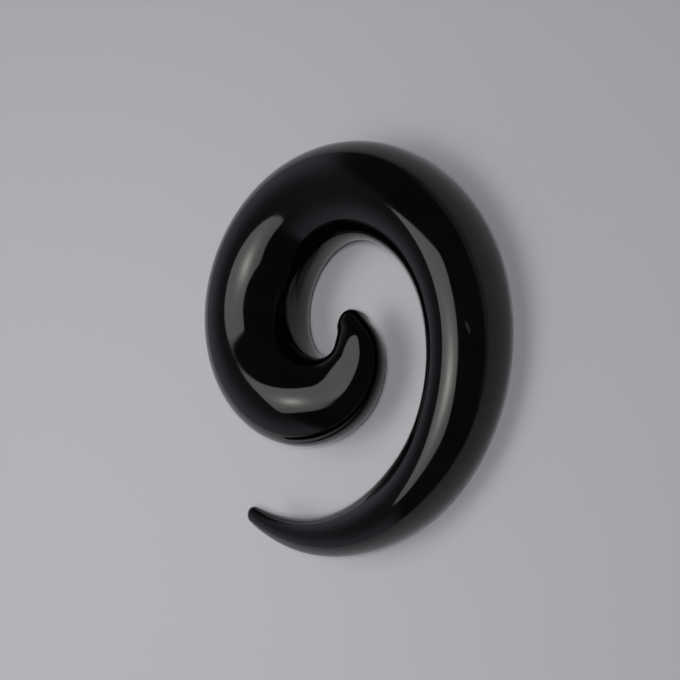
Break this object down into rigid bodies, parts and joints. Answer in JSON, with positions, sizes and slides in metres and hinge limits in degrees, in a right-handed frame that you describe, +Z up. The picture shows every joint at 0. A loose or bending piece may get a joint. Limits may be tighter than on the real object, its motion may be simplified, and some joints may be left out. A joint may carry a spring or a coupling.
{
  "type": "spiral ear taper",
  "caption": "Spiral ear taper: a round black acrylic bar wound into a flat coil, thickest where it sits in the lobe, with a blunt inner tip and a fine outer tip.",
  "frame": {"origin": "on the surface that the coil lies on, under the middle of its box", "axes": "+Z up, across the flat coil, which leans about 2 degrees as it lies; +Y toward the top of the coil, away from the outer tip; +X toward the outer limb"},
  "size_m": [0.0356, 0.0392, 0.0101],
  "materials": {
    "black_acrylic": "polished gloss"
  },
  "bodies": {
    "root": {"spiral_taper": "black_acrylic"}
  },
  "joints": []
}
